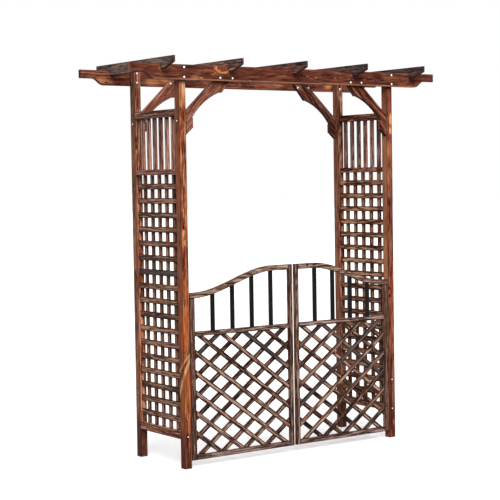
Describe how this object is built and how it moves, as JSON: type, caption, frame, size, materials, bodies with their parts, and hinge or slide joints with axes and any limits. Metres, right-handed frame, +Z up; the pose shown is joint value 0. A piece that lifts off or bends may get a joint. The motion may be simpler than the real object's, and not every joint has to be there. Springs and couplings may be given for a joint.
{
  "type": "garden arch with gate",
  "caption": "Timber garden arch with beams and cross rafters on square posts, curved knee braces, lattice side panels and a pair of low curved-top lattice gates that swing inward.",
  "frame": {"origin": "on the ground, midway between the four posts", "axes": "+X along the beams, to the right as seen from the gates' side; +Y through the arch from front to back; +Z up"},
  "size_m": [2.12, 0.8, 2.2],
  "materials": {
    "post": "oiled, orange-brown with dark knots",
    "beam": "oiled, red-brown",
    "rafter": "weathered charcoal",
    "brace": "oiled, red-brown",
    "panel": "oiled, dark brown",
    "gate": "oiled, grey-brown",
    "baluster": "stained near black",
    "steel": "zinc plated"
  },
  "bodies": {
    "arch": {"front_left_post": "post", "front_left_brace": "brace", "front_left_upper_bolt": "steel", "front_left_lower_bolt": "steel", "back_left_post": "post", "back_left_brace": "brace", "back_left_upper_bolt": "steel", "back_left_lower_bolt": "steel", "front_right_post": "post", "front_right_brace": "brace", "front_right_upper_bolt": "steel", "front_right_lower_bolt": "steel", "back_right_post": "post", "back_right_brace": "brace", "back_right_upper_bolt": "steel", "back_right_lower_bolt": "steel", "front_beam": "beam", "back_beam": "beam", "rafter_1": "rafter", "rafter_2": "rafter", "rafter_3": "rafter", "rafter_4": "rafter", "rafter_5": "rafter", "left_panel_top_rail": "panel", "left_panel_slats": "panel", "left_panel_lattice": "panel", "left_panel_bottom_rail": "panel", "right_panel_top_rail": "panel", "right_panel_slats": "panel", "right_panel_lattice": "panel", "right_panel_bottom_rail": "panel", "left_gate_lower_hinge_post_half": "steel", "left_gate_upper_hinge_post_half": "steel", "right_gate_lower_hinge_post_half": "steel", "right_gate_upper_hinge_post_half": "steel"},
    "left_gate": {"left_gate_hinge_stile": "gate", "left_gate_meeting_stile": "gate", "left_gate_top_rail": "gate", "left_gate_mid_rail": "gate", "left_gate_bottom_rail": "gate", "left_gate_baluster_1": "baluster", "left_gate_baluster_2": "baluster", "left_gate_baluster_3": "baluster", "left_gate_baluster_4": "baluster", "left_gate_lattice": "gate", "left_gate_lower_hinge_gate_half": "steel", "left_gate_upper_hinge_gate_half": "steel"},
    "right_gate": {"right_gate_hinge_stile": "gate", "right_gate_meeting_stile": "gate", "right_gate_top_rail": "gate", "right_gate_mid_rail": "gate", "right_gate_bottom_rail": "gate", "right_gate_baluster_1": "baluster", "right_gate_baluster_2": "baluster", "right_gate_baluster_3": "baluster", "right_gate_baluster_4": "baluster", "right_gate_lattice": "gate", "right_gate_lower_hinge_gate_half": "steel", "right_gate_upper_hinge_gate_half": "steel"}
  },
  "joints": [
    {"name": "left_gate_swing", "type": "hinge", "parent": "arch", "child": "left_gate", "pos_m": [-0.701, -0.224, 0.49], "axis": [0, 0, 1], "range_deg": [0, 90]},
    {"name": "right_gate_swing", "type": "hinge", "parent": "arch", "child": "right_gate", "pos_m": [0.701, -0.224, 0.49], "axis": [0, 0, -1], "range_deg": [0, 90]}
  ]
}
